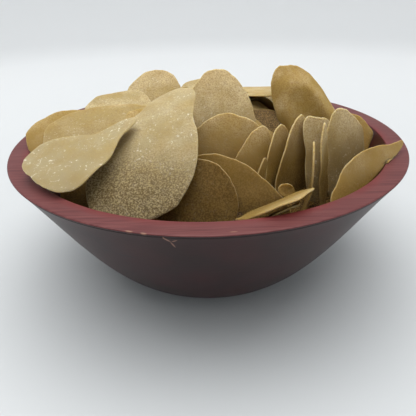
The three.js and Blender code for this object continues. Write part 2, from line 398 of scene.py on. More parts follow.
test_x, test_y = outline(Crisp((0, 0, 0), (76, 49), (0, 90)), 1.0, np.linspace(0, 2 * np.pi, 360))
print("its outline, mm:", np.ptp(test_y).round(1), "by", np.ptp(test_x).round(1))

# %% [markdown]
# A thin sheet rolls in one direction more easily than in two, and keeps its length as it does. So the
# sheet is rolled like paper: only its slope changes along the way, and where it runs follows from that.
# A modifier could bend a flat mesh too, but not along a direction of its own for each crisp in a piece.

# %% Roll
ROLL_REACH = 1.3
ROLL_STEPS = 209


def roll_up(crisp, x, y):
    """Flat x and y to a rolled sheet. Along the roll's direction the slope grows evenly to half the bend
    at either end, and adding up cosine and sine of the slope gives where the sheet runs. The cup lifts
    both sides by the square of their share."""
    way = np.radians(crisp.roll)
    along, side = x * np.sin(way) + y * np.cos(way), x * np.cos(way) - y * np.sin(way)
    length, width = crisp.size
    half = 0.5 * np.hypot(width * np.sin(way), length * np.cos(way))
    half_side = 0.5 * np.hypot(width * np.cos(way), length * np.sin(way))
    share = np.linspace(-ROLL_REACH, ROLL_REACH, ROLL_STEPS)
    slope = np.radians(crisp.bend) / 2 * share
    step = (share[1] - share[0]) * half
    out = np.cumsum(np.cos(slope)) * step
    up = np.cumsum(np.sin(slope)) * step
    middle = len(share) // 2
    q = np.interp(along / half, share, out - out[middle])
    z = np.interp(along / half, share, up - up[middle])
    tilt = np.interp(along / half, share, slope)
    lift = crisp.cup * (side / half_side) ** 2
    q, z = q - np.sin(tilt) * lift, z + np.cos(tilt) * lift
    return q * np.sin(way) + side * np.cos(way), q * np.cos(way) - side * np.sin(way), z


test_z = roll_up(Crisp((0, 0, 0), (76, 49), (0, 90), bend=40), test_x, test_y)[2]
print("bent by 40 degrees it stands", np.ptp(test_z).round(1), "mm high")

# %% [markdown]
# Drying leaves slow dents across the sheet and a frill at its edge. Together they go up and down by
# about a millimetre, just enough to break up the light on the face.

# %% Dents
DENT = 0.22
FRILL = 0.25
DENT_SEED = 500
LIP_FROM_TO = (0.6, 1.15)
LIP_ALONG = (-0.25, 0.15)


def dents(crisp, x, y):
    """Height of the slow dents and of the frill: three seeded waves across the sheet, 17 to 51 mm long,
    and one that runs along the edge and dies away towards the middle. A flare leans the lip back."""
    phase = np.random.default_rng(crisp.seed + DENT_SEED).uniform(0, 2 * np.pi, 6)
    waves = (
        np.sin(x / 6.3 + phase[0]) * np.cos(y / 8.1 + phase[1])
        + 0.8 * np.sin(x / 3.4 + y / 4.7 + phase[2])
        + 0.35 * np.sin(x / 2.7 - y / 3.1 + phase[3])
    )
    length, width = crisp.size
    out = np.hypot(2 * x / width, 2 * y / length)
    frill = np.sin(5 * np.arctan2(x, y) + phase[4]) + 0.6 * np.sin(8 * np.arctan2(x, y) + phase[5])
    lip = smooth_step(out, *LIP_FROM_TO) * smooth_step(y / length, *LIP_ALONG)
    return DENT * waves + FRILL * frill * out**5 - crisp.flare * lip


test_z = dents(Crisp((0, 0, 0), (76, 49), (0, 90)), test_x, test_y)
print("its edge goes up and down by", np.ptp(test_z).round(2), "mm")

# %% [markdown]
# ## A crisp in its place
#
# The crisp's own directions come from where its face looks: `normal` out of the face, `rise` up the
# face and `side` across it, the last two turned by the spin. That puts the rolled sheet anywhere in the
# bowl, still as if nothing else were there.

# %% Turned and moved
def directions(face, spin):
    """(normal, along, across) of a crisp as unit vectors, from azimuth, elevation and spin in degrees."""
    azimuth, elevation = np.radians(face)
    turn = np.radians(spin)
    normal = np.array([
        np.sin(azimuth) * np.cos(elevation), -np.cos(azimuth) * np.cos(elevation), np.sin(elevation),
    ])
    rise = np.array([
        -np.sin(azimuth) * np.sin(elevation), np.cos(azimuth) * np.sin(elevation), np.cos(elevation),
    ])
    side = np.cross(rise, normal)
    return normal, rise * np.cos(turn) + side * np.sin(turn), side * np.cos(turn) - rise * np.sin(turn)


def free_sheet(crisp, x, y):
    """The crisp's middle surface for flat coordinates x and y: rolled and dented, each coordinate is
    carried along its own direction from where the crisp is."""
    px, py, pz = roll_up(crisp, x, y)
    normal, along, across = directions(crisp.face, crisp.spin)
    z = pz + dents(crisp, x, y)
    return np.array(crisp.at) + px[..., None] * across + py[..., None] * along + z[..., None] * normal


print("a crisp that faces up and ahead:", *(d.round(2) for d in directions((0, 45), 0)))

# %% [markdown]
# A crisp can't pass through the wood, nor through a heap that it was dropped on. A point in the wood is
# moved back by the shorter way: inwards, or up onto the rim. A point under the heap's top is lifted to
# it, with a soft bend where the crisp comes to lie on the heap.

# %% Kept off the wood and on the heap
WOOD_GAP = 0.8
FIELD_HALF = 130
BED_SOFTNESS = 1.6


def keep_off_wood(points):
    """Points moved out of the bowl's wood, by the shorter way: radius down to the inner wall, or height
    up to the rim, each with the gap left free."""
    radius = np.hypot(points[..., 0], points[..., 1])
    height = points[..., 2]
    into_wall = radius - (wall_radius(height) - WOOD_GAP)
    under_rim = BOWL_HEIGHT + WOOD_GAP - height
    inside_wood = (into_wall > 0) & (under_rim > 0)
    go_up = inside_wood & (under_rim < into_wall)
    go_in = inside_wood & ~go_up
    scale = np.where(go_in, (radius - into_wall) / np.maximum(radius, 1e-6), 1)
    moved = points * np.stack([scale, scale, np.ones_like(scale)], -1)
    moved[..., 2] = np.where(go_up, BOWL_HEIGHT + WOOD_GAP, height)
    return moved


def rest_on(bed, points):
    """Points lifted to stay on a bed, a field of heights by the millimetre: the field's height f is
    read between its cells, and z becomes the smooth greater of both, half of z + f + the root of
    (z-f)^2 + softness^2."""
    place = np.clip(points[..., :2] + FIELD_HALF, 0, 2 * FIELD_HALF - 0.001)
    cell = place.astype(int)
    (i, j), (a, b) = np.moveaxis(cell, -1, 0), np.moveaxis(place - cell, -1, 0)
    low = (1 - b) * bed[i, j] + b * bed[i, j + 1]
    high = (1 - b) * bed[i + 1, j] + b * bed[i + 1, j + 1]
    above = points[..., 2] - ((1 - a) * low + a * high)
    lifted = points.copy()
    lifted[..., 2] += (np.sqrt(above**2 + BED_SOFTNESS**2) - above) / 2
    return lifted


def middle_sheet(crisp, x, y):
    """The crisp's middle surface as it comes to lie, on the heap it was dropped on or off the wood."""
    place = free_sheet(crisp, x, y)
    return keep_off_wood(place) if crisp.bed is None else rest_on(crisp.bed, place)


print("a point in the wall moves to", keep_off_wood(np.array([[0.0, -118.0, 85.0]]))[0].round(1))

# %% [markdown]
# The sheet gets its real thickness by moving it half of that to either side, with an edge that rounds
# off. A Solidify modifier would do so too, but would leave the edge square. Marks tell the sago how near
# the edge a point is, how toasted and dusty its crisp is, both partly painted light, and how much painted
# shade it gets for lying deep in the heap.

# %% Crisp mesh
CRISP_THICKNESS = 1.1
NEAR_STEP = 0.05
SUGAR_FROM_TO = (0.0, 0.35)
PAINTED_SHADE_FROM = 114.0
PAINTED_SHADE_EVERY = 30.0


def crisp_shell(crisp, cells):
    """(points, faces, marks) of one crisp: its middle surface moved half its thickness to either side
    along the surface's normal, which is the cross product of the steps to two near points."""
    share, angle = disc_grid(cells)
    x, y = outline(crisp, share, angle)
    middle = middle_sheet(crisp, x, y)
    aside = middle_sheet(crisp, x + NEAR_STEP, y) - middle
    ahead = middle_sheet(crisp, x, y + NEAR_STEP) - middle
    normal = np.cross(aside, ahead)
    normal /= np.maximum(np.linalg.norm(normal, axis=-1, keepdims=True), 1e-9)
    fullness = np.interp(share, EDGE_RINGS, EDGE_FULLNESS)[..., None]
    offset = CRISP_THICKNESS / 2 * fullness * normal
    points = np.vstack([(middle + offset).reshape(-1, 3), (middle - offset)[1:-1, 1:-1].reshape(-1, 3)])
    edge = np.concatenate([share.ravel(), share[1:-1, 1:-1].ravel()])
    down = np.concatenate([y.ravel(), y[1:-1, 1:-1].ravel()])
    marks = {
        "edge": edge,
        "tone": np.full(len(points), crisp.tone),
        "frost": np.full(len(points), crisp.frost),
        "sugar": crisp.sugar * smooth_step(-down / crisp.size[0], *SUGAR_FROM_TO),
        # Painted shade: lower points, and crisps with a shade, are painted golden and then brown.
        "painted_depth_shade": np.maximum(np.clip((PAINTED_SHADE_FROM - points[:, 2]) / PAINTED_SHADE_EVERY, 0, 2), crisp.shade),
    }
    return points, shell_faces(len(share)), marks


def crisps_piece(name, crisps, cells):
    """All crisps of one kind joined as one mesh: their arrays stacked, with each one's faces counted on
    from the points before it."""
    shells = [crisp_shell(crisp, cells) for crisp in crisps]
    counts = np.cumsum([0] + [len(points) for points, _, _ in shells])
    points = np.vstack([points for points, _, _ in shells])
    faces = np.vstack([faces + first for (_, faces, _), first in zip(shells, counts)])
    marks = {mark: np.concatenate([m[mark] for _, _, m in shells]) for mark in shells[0][2]}
    return new_piece(name, points, faces.tolist(), marks)


# %% [markdown]
# ## The crisps that show
#
# Nothing but looking closely gives where each crisp lies, so these lists were found by trying, to a
# millimetre or so. First come the two big ones in front, a tongue that hangs over the left of the rim and
# the tall one beside it, and then the broad ones that lie against the heap behind them.

# %% Crisps lying at the front and on top
front_crisps = [
    Crisp((-64.9, -58.7, 107.7), (68, 42), (-28, 70), 28, egg=0.34, bend=5, roll=0, uneven=0.01,
          frost=0.7, tone=0.0, reach=(0.9, 0.72, 1.03, 1.13, 1.01, 1.13, 0.61, 0.48)),
    Crisp((-30, -52.8, 107.9), (100, 56), (-17, 60), 3, egg=0, bend=-50, roll=-30, uneven=0.02, frost=0.6,
          sugar=1.0, tone=0.3, reach=(1.05, 0.74, 0.95, 1.06, 0.99, 1.17, 0.9, 0.85)),
]
lying_crisps = [
    Crisp((-39, 14, 107), (64, 50), (-5, 50), 3, bend=-40, tone=0.7, frost=0.3),
    Crisp((-60, 6, 109), (46, 46), (-10, 68), 68, egg=0, bend=-20, tone=0.5, frost=0.4),
    Crisp((-62, -18, 103), (84, 50), (-5, 66), 80, bend=-15, tone=0.1, frost=0.3),
    Crisp((-91, -11, 99), (54, 44), (8, 66), 78, egg=0, bend=-10, roll=0, tone=0.3),
    Crisp((-42, -24, 112.5), (16, 12), (-5, 62), 60, egg=0.2, roll=0),
    Crisp((9, 0, 96), (84, 54), (3, 38), 0, egg=0.15, bend=-25, tone=0.7, frost=0.3),
    Crisp((10.5, -31, 80.5), (72, 58), (6, 34), 22, egg=0, bend=-20),
    Crisp((25, -48, 80.3), (66, 28), (20, 26), 25, egg=0.3, bend=-20),
    Crisp((31, -56, 83), (26, 12), (50, 10), 28, bend=-15),
    Crisp((12, -67, 71.5), (74, 52), (-10, 28), -58, egg=0, bend=-20, roll=0, shade=0.9),
    Crisp((-13, -72, 77.5), (52, 58), (-4, 24), 0, bend=-25, shade=1.3),
    Crisp((-68, -60, 80), (30, 30), (10, 55), 30, bend=-15),
    Crisp((-1, 32, 111), (40, 40), (0, 66), 70, bend=-15, frost=0.4),
]
print(len(front_crisps) + len(lying_crisps), "crisps at the front and on top")

# %% [markdown]
# The crisps at the right stand on edge like books on a shelf, leaning to the right, and one leans out
# over the rim. The tallest stands behind them, cupped like a spoon with its lip leaning back. Beside it
# one shows its edge and another its face, painted dark brown by a strong painted shade. Two slivers and
# a scrap lie near the rim in front.

# %% Crisps standing on edge at the right
standing_crisps = [
    Crisp((42, -43, 79.5), (62, 30), (50, 12), 26, bend=15),
    Crisp((51.8, -40, 73), (84, 38), (46, 8), 20, egg=0.2, bend=20, tone=0.7),
    Crisp((68.2, -34.5, 92), (48, 24), (20, 22), 0, bend=-15, tone=1.0, frost=0.3,
          reach=(0.84, 1.05, 1, 0.95, 1.25, 1.3, 0.8, 1.0)),
    Crisp((57.3, -63.5, 80), (56, 25), (76, -6), 0, bend=-30, roll=0),
    Crisp((65.7, -57.3, 82.5), (66, 20), (64, 5), 0, bend=10),
    Crisp((86.1, -34.5, 87.4), (55, 39), (35, 15), 15, egg=0.06, bend=-30, tone=0.7, frost=0.3,
          reach=(0.99, 0.93, 0.99, 0.93, 1, 1.01, 0.92, 1.18)),
    Crisp((88.8, -65.1, 92.2), (73, 20), (37, 31), 79, egg=0.42, bend=-10, roll=0, shade=0.6,
          reach=(1.06, 0.85, 0.92, 1, 1, 0.85, 1.15, 0.92)),
    Crisp((91, -8, 82), (56, 46), (0, 40), 24, reach=(1, 1, 1, 1, 1, 0.85, 0.75, 0.85)),
    Crisp((72.5, 9, 93.3), (90, 41), (2, 24), -22, egg=0.15, bend=34, roll=0, cup=6, flare=13,
          tone=0.25, shade=0.25, reach=(1.02, 1.1, 1.05, 1.05, 1, 1, 1, 1.08)),
    Crisp((40, 52, 108.5), (72, 50), (180, 84), 90, egg=0, shade=0.25),
    # Painted shade makes this crisp dark brown all over.
    Crisp((33, 6, 89), (60, 42), (-5, 50), 80, egg=0, tone=0, shade=1.7,
          reach=(0.75, 1, 1, 1, 1, 1, 1, 0.9)),
    Crisp((33, -94, 88), (42, 40), (-140, 55), -83, bend=0),
    Crisp((31, -97, 83), (28, 30), (-140, 50), -83, bend=0),
    Crisp((42, -73, 84.5), (10, 8), (20, 30), -60, bend=60, shade=0.6),
]
print(len(standing_crisps), "crisps standing at the right")

# %% [markdown]
# ## The core
#
# Under the crisps that show, the bowl is full of more crisps and crumbs that nobody sees singly. One
# lumpy mound stands for them. It is a turned grid too: up the inner wall, then over the top, which
# rises towards the back, because the heap does.

# %% Core mesh
CORE_EDGE = 62.0
CORE_RISE = 8.0
CORE_BACK_RISE = 7.0
CORE_LUMP = 2.5
CORE_GAP = 0.4
CORE_SIDES = 144
CORE_RINGS = 40
CORE_PAINTED_SHADE = 2.0


def core_top(x, y):
    """Height of the core's top: edge + rise (1 - out squared) + a smooth step up towards the back, with
    lumps that are products of sines of x and y, all but the edge dying away at the wall."""
    out = np.clip(np.hypot(x, y) / wall_radius(CORE_EDGE), 0, 1)
    lumps = np.sin(x / 5.1 + 1) * np.cos(y / 4.3)
    lumps = lumps + 0.6 * np.sin(x / 2.9 - y / 3.3) + 0.4 * np.sin(y / 1.9)
    mound = CORE_RISE * (1 - out**2) + CORE_BACK_RISE * smooth_step(y, 0, 50) * (1 - out**4)
    return CORE_EDGE + mound + CORE_LUMP * lumps * smooth_step(out, 1, 0.9)


def core_piece():
    """Wall part: the inner wall moved in by a small gap. Top part: rings at the height of the top."""
    wall = inner_wall[inner_wall[:, 1] < CORE_EDGE - 2][::3] + np.array([-CORE_GAP, CORE_GAP])
    top_radius = np.linspace(wall_radius(CORE_EDGE) - 2, 0, CORE_RINGS)[:-1]
    top = np.column_stack([top_radius, np.full(len(top_radius), CORE_EDGE)])
    floor = np.array([[FLOOR_RADIUS / 2, FLOOR_THICKNESS + CORE_GAP]])
    profile = np.vstack([floor, wall, top])
    grid = turned_grid(profile, CORE_SIDES)
    x, y = grid[..., 0], grid[..., 1]
    on_top = np.arange(len(profile))[:, None] > len(wall)
    grid[..., 2] = np.where(on_top, core_top(x, y), grid[..., 2])
    ends = np.array([[0, 0, FLOOR_THICKNESS + CORE_GAP], [0, 0, core_top(0, 0)]])
    points = np.vstack([grid.reshape(-1, 3), ends])
    none = np.zeros(len(points))
    # The core gets the darkest painted shade, brown all over.
    marks = {"edge": none, "tone": none, "frost": none, "sugar": none, "painted_depth_shade": none + CORE_PAINTED_SHADE}
    return new_piece("crumb_core", points, turned_faces(len(profile), CORE_SIDES), marks)


core = core_piece()

# %% [markdown]
# ## The crisps behind
#
# The photograph doesn't show the back, so it is filled as a cook would: crisp after crisp is dropped on
# the heap. Blender's physics could do that, but stiff sheets this thin shake and slip through each other.
# A height field is steadier: one number for each millimetre square says how high the heap stands.

# %% The height field
field_line = np.arange(-FIELD_HALF, FIELD_HALF + 1.0)
field_x, field_y = np.meshgrid(field_line, field_line, indexing="ij")
field_radius = np.hypot(field_x, field_y)
wood_height = np.interp(field_radius, inner_wall[:, 0], inner_wall[:, 1])
wood_height = np.where(field_radius > MOUTH_RADIUS, BOWL_HEIGHT, wood_height) + WOOD_GAP
heap_height = np.maximum(wood_height, core_top(field_x, field_y))
LEAN_WITHIN = 26.0
STEEPEST = 0.6
SWELL_STEPS = 3
SMOOTH_OVER = 3.5


def lean_of_heap(heights, x, y):
    """Azimuth and elevation of the normal of the plane that fits the field best round a place, which
    least squares finds. It is never steeper than crisps lie without sliding."""
    near = np.hypot(field_x - x, field_y - y) < LEAN_WITHIN
    level = np.column_stack([field_x[near], field_y[near], np.ones(near.sum())])
    slope_x, slope_y, _ = np.linalg.lstsq(level, heights[near], rcond=None)[0]
    steepness = min(np.hypot(slope_x, slope_y), STEEPEST)
    return np.degrees(np.arctan2(-slope_x, slope_y)), 90 - np.degrees(np.arctan(steepness))


def soft_bed(heights):
    """The field as a stiff crisp feels it: first every cell takes the highest of its neighbours, three
    times over, then a bell curve smooths it, which is a product with another bell curve in frequency."""
    bed = heights
    for axis in (0, 1) * SWELL_STEPS:
        bed = np.maximum(bed, np.maximum(np.roll(bed, 1, axis), np.roll(bed, -1, axis)))
    wave = np.fft.fftfreq(len(bed))
    bell = np.exp(-2 * (np.pi * SMOOTH_OVER) ** 2 * (wave[:, None] ** 2 + wave**2))
    return np.fft.ifft2(np.fft.fft2(bed) * bell).real + CRISP_THICKNESS / 2


print("the heap starts at most", core_top(field_x, field_y).max().round(1), "mm high")

# %% [markdown]
# A new crisp leans as the heap leans where it falls. It is first pulled clear of the four places where
# the heap leaves the wall free, comes down until three fifths of it would be in the heap, and is bent
# to lie on top of that. Then it raises the field. So crisps lie on one another, and cut into each other
# only a little.

# %% Dropping a crisp
DROP_FROM = 300.0
SUNK_SHARE = 0.6
PULL = 0.97
# Left, right, near and far side of each free place, in millimetres.
WALL_GAPS = (
    (78, 97, 21, 44),
    (89.5, 99.5, 16.5, 28),
    (-6.5, 11, 95.5, 105.5),
    (-104, -95.5, 11.5, 36.5),
)


def clear_of_gaps(crisp, x, y):
    """The crisp pulled towards the axis, 3 % at a time, until no part of it is over a gap at the wall."""
    while True:
        sheet = free_sheet(crisp, x, y)
        px, py = sheet[..., 0], sheet[..., 1]
        over = [
            (px > left) & (px < right) & (py > near) & (py < far)
            for left, right, near, far in WALL_GAPS
        ]
        if not np.any(over):
            return crisp
        crisp = replace(crisp, at=(PULL * crisp.at[0], PULL * crisp.at[1], DROP_FROM))


def settle(crisp, heights):
    """Drops a crisp on the field until a share of it has sunk in, lets it rest on the smooth bed, and
    raises the field to its top."""
    x, y = outline(crisp, *disc_grid(100))
    crisp = clear_of_gaps(crisp, x, y)
    sheet = free_sheet(crisp, x, y)
    bed = soft_bed(heights)
    cell = np.rint(np.moveaxis(sheet[..., :2], -1, 0) + FIELD_HALF).astype(int)
    cell = tuple(cell.clip(0, 2 * FIELD_HALF))
    drop = np.quantile(sheet[..., 2] - bed[cell], SUNK_SHARE)
    settled = replace(crisp, at=(crisp.at[0], crisp.at[1], DROP_FROM - drop), bed=bed)
    np.maximum.at(heights, cell, middle_sheet(settled, x, y)[..., 2] + CRISP_THICKNESS / 2)
    return settled


print("free places at the wall:", len(WALL_GAPS))

# %% [markdown]
# The crisps are dropped in arcs round the axis: one short arc low down at the left, under the big ones,
# and then five over the back. Sines and cosines of a crisp's number sway its place, size and lean, so
# that no two are alike, and each run of the script gives the same heap.

# %% Crisps dropped low down and at the back
DROPPED_LENGTH, DROPPED_WIDTH = 76.0, 49.0
DROPPED_BEND = -22.0


def dropped_row(count, radius, start, stop, first_seed):
    """Crisps dropped at even azimuths from start to stop, swayed by sines and cosines of their number."""
    row = []
    for k in range(count):
        sway, lift = np.sin(2.4 * k + first_seed), np.cos(3.7 * k + first_seed)
        azimuth = np.radians(start + (stop - start) * (k + 0.25 * sway) / (count - 1))
        x, y = (radius + 5 * lift) * np.sin(azimuth), -(radius + 5 * lift) * np.cos(azimuth)
        lean_azimuth, elevation = lean_of_heap(heap_height, x, y)
        size = (DROPPED_LENGTH + 7 * sway, DROPPED_WIDTH + 4 * lift)
        face = (lean_azimuth + 9 * lift, elevation - 5 * sway)
        crisp = Crisp(
            (x, y, DROP_FROM), size, face, 60 * np.sin(1.9 * k + first_seed), egg=0.1 + 0.1 * lift,
            bend=DROPPED_BEND + 12 * sway, cup=1.5 * lift, tone=0.5 + 0.2 * sway,
            frost=0.25 + 0.2 * lift, seed=first_seed + k,
        )
        row.append(settle(crisp, heap_height))
    return row


low_crisps = dropped_row(4, 60, -105, -50, 300)
back_crisps = (
    dropped_row(7, 82, 102, 262, 100)
    + dropped_row(5, 62, 122, 248, 120)
    + dropped_row(6, 79, 110, 256, 140)
    + dropped_row(4, 56, 150, 240, 160)
    + dropped_row(5, 76, 120, 250, 180)
)
print("the back stands", round(max(crisp.at[2] for crisp in back_crisps), 1), "mm high")

# %% [markdown]
# Each kind of crisps becomes one piece: the two big ones in front, the ones that lie, the ones that
# stand, the ones low down at the left and the ones behind. The nearest have the most cells.

# %% Crisp pieces
for number, crisp in enumerate(front_crisps + lying_crisps + standing_crisps):
    crisp.seed = number + 1

pieces = [
    crisps_piece("front_crisps", front_crisps, 60),
    crisps_piece("lying_crisps", lying_crisps, 48),
    crisps_piece("standing_crisps", standing_crisps, 44),
    crisps_piece("low_crisps", low_crisps, 30),
    crisps_piece("back_crisps", back_crisps, 40),
]

# %% [markdown]
# ## Materials
#
# Colours are written as on a web page and turned to linear light by one function. Another adds a node,
# gives it its settings and links, and hands back one of its outputs, so that a material reads as a
# short list of what is done. Patterns are scaled from millimetres on the real thing.

# %% Colour and node helpers
def linear(colour):
    """A hex colour such as #c8b48a as linear red, green, blue and alpha."""
    value = np.array([int(colour[i:i + 2], 16) for i in (1, 3, 5)]) / 255
    light = np.where(value <= 0.04045, value / 12.92, ((value + 0.055) / 1.055) ** 2.4)
    return (*light.tolist(), 1.0)


def add_node(tree, kind, inputs, output=0, **settings):
    """Adds a node with its settings and returns one of its outputs. inputs maps a socket's name or
    number to a value, or to another node's output, which is then linked."""
    node = tree.nodes.new(kind)
    for name, value in settings.items():
        setattr(node, name, value)
    for name, value in inputs.items():
        if isinstance(value, bpy.types.NodeSocket):
            tree.links.new(value, node.inputs[name])
        else:
            node.inputs[name].default_value = value
    return node.outputs[output]


def new_material(name):
    """A node material, its node tree and its Principled shader."""
    material = bpy.data.materials.new(name)
    material.use_nodes = True
    return material, material.node_tree, material.node_tree.nodes["Principled BSDF"]


def per_metre(millimetres):
    """Scale of a pattern whose features are that many millimetres apart, on Object coordinates."""
    return 1 / (millimetres * MM)


print("linear #b89c66:", [round(c, 3) for c in linear("#b89c66")])

# %% [markdown]
# ### Sun-dried sago starch
#
# A dried crisp is a thin sheet of swollen starch grains: honey-tan, matt, a little see-through, with a
# surface like fine sandpaper. Light that passes through one sheet glows, and where sheets lie on each
# other it is lost, so the deep places turn golden and then brown. Slow patches and the grains colour the
# sheet itself. A mark on each point adds painted shade, golden and then brown, lower in the heap, as the
# lamp alone leaves low crisps too pale.

# %% The sheet's own colour
GRAIN_MM = 0.9
PATCH_MM = 16.0


def sago_sheet(tree, place, grains, marks):
    """Colour of the sheet without its dust: pale or toasted in slow patches and by its tone, partly painted
    light; golden and then brown by painted shade lower in the heap; and dark between the starch grains."""
    patches = add_node(tree, "ShaderNodeTexNoise", {
        "Vector": place, "Scale": per_metre(PATCH_MM), "Detail": 3.0,
    })
    patches = add_node(tree, "ShaderNodeMapRange", {0: patches, 1: 0.3, 2: 0.7})
    # The tone is partly painted light: steep crisps, which the lamp above lights less, are set paler.
    toned = add_node(tree, "ShaderNodeMath", {0: marks["tone"], 1: patches}, operation="ADD")
    paleness = add_node(tree, "ShaderNodeMapRange", {0: toned, 1: 0.55, 2: 1.5})
    body = add_node(tree, "ShaderNodeMix", {
        0: paleness, 6: linear("#a3894b"), 7: linear("#c8b48a"),
    }, 2, data_type="RGBA")

    # Painted shade by the depth mark: golden, and then brown.
    painted_golden_shade = add_node(tree, "ShaderNodeMapRange", {
        0: marks["painted_depth_shade"], 4: 0.95,
    }, interpolation_type="SMOOTHSTEP")
    painted_brown_shade = add_node(tree, "ShaderNodeMapRange", {0: marks["painted_depth_shade"], 1: 0.9, 2: 2.0})
    between = add_node(tree, "ShaderNodeMapRange", {0: grains, 1: 0.58, 2: 0.36, 3: 0.0, 4: 0.7})
    for share, colour in ((painted_golden_shade, "#73571b"), (painted_brown_shade, "#2e1905"), (between, "#8a6c33")):
        body = add_node(tree, "ShaderNodeMix", {0: share, 6: body, 7: linear(colour)}, 2, data_type="RGBA")
    return body


print("grains are drawn", GRAIN_MM, "mm apart, patches", PATCH_MM, "mm")

# %% [markdown]
# Loose starch is left on some crisps as a thin white haze, with specks and short wisps in it. The haze is
# partly a painted sheen, strongest on the crisps on top. A wisp is where a slow noise passes its middle
# value, which is a thin wandering line, broken up by the specks' own noise. The tall crisp in front has a
# sugary end too, where grains stand out white on a brown that is partly painted shade.

# %% Loose starch
SPECK_MM = 1.7
WISP_MM = 6.0
CLUSTER_MM = 12.0


def starch_dust(tree, place, marks, body):
    """The sheet's colour with haze, partly a painted sheen, and white specks and wisps where they cluster,
    both by its frost.
    """
    clusters = add_node(tree, "ShaderNodeTexNoise", {
        "Vector": place, "Scale": per_metre(CLUSTER_MM), "Detail": 3.0,
    })
    clustered = add_node(tree, "ShaderNodeMapRange", {0: clusters, 1: 0.38, 2: 0.62})
    fine = add_node(tree, "ShaderNodeTexNoise", {
        "Vector": place, "Scale": per_metre(SPECK_MM), "Detail": 3.0, "Roughness": 0.65,
    })
    specks = add_node(tree, "ShaderNodeMapRange", {0: fine, 1: 0.62, 2: 0.7})
    wander = add_node(tree, "ShaderNodeTexNoise", {
        "Vector": place, "Scale": per_metre(WISP_MM), "Detail": 1.0,
    })
    off_middle = add_node(tree, "ShaderNodeMath", {0: wander, 1: 0.5}, operation="SUBTRACT")
    off_middle = add_node(tree, "ShaderNodeMath", {0: off_middle}, operation="ABSOLUTE")
    lines = add_node(tree, "ShaderNodeMapRange", {0: off_middle, 1: 0.035, 2: 0.01, 3: 0.0, 4: 0.7})
    broken = add_node(tree, "ShaderNodeMapRange", {0: fine, 1: 0.54, 2: 0.62})
    wisps = add_node(tree, "ShaderNodeMath", {0: lines, 1: broken}, operation="MULTIPLY")
    dust = add_node(tree, "ShaderNodeMath", {0: specks, 1: wisps}, operation="MAXIMUM")
    dust = add_node(tree, "ShaderNodeMath", {0: dust, 1: clustered}, operation="MULTIPLY")
    # The haze is partly a painted sheen of the lamp on the crisps on top.
    haze_and_painted_sheen = add_node(tree, "ShaderNodeMapRange", {0: clusters, 1: 0.3, 2: 0.7, 3: 0.45, 4: 0.85})
    for cover, colour in ((haze_and_painted_sheen, "#a49e84"), (dust, "#f4eedd")):
        share = add_node(tree, "ShaderNodeMath", {0: cover, 1: marks["frost"]}, operation="MULTIPLY")
        body = add_node(tree, "ShaderNodeMix", {0: share, 6: body, 7: linear(colour)}, 2, data_type="RGBA")
    return body


def sugary_end(tree, grains, marks, body):
    """The near end of a crisp with the sugar mark, as on coarse sandpaper: pale grains on a brown that is
    partly painted shade.
    """
    light = add_node(tree, "ShaderNodeMapRange", {0: grains, 1: 0.42, 2: 0.62})
    # The dark brown is partly painted shade of the near end, which bends down.
    sugar = add_node(tree, "ShaderNodeMix", {
        0: light, 6: linear("#463214"), 7: linear("#b7a57a"),
    }, 2, data_type="RGBA")
    share = add_node(tree, "ShaderNodeMath", {0: marks["sugar"], 1: 0.6}, operation="MULTIPLY")
    return add_node(tree, "ShaderNodeMix", {0: share, 6: body, 7: sugar}, 2, data_type="RGBA")


print("specks are", SPECK_MM, "mm apart, wisps", WISP_MM, "mm, clusters", CLUSTER_MM, "mm")

# %% [markdown]
# The shader's own values are those of starch: an IOR of 1.5, no metal, and a dull surface, rougher
# where grains stand up. Light goes a few millimetres into the sheet, red further than blue, so that thin
# crisps glow warm. Two bumps, pits between the grains and slow swells, stay under a millimetre. The
# grains are drawn at 0.9 mm, a little coarser than the real ones, which wouldn't show.

# %% Dried sago
LIGHT_REACH_MM = 3.2
SWELL_MM = 5.0


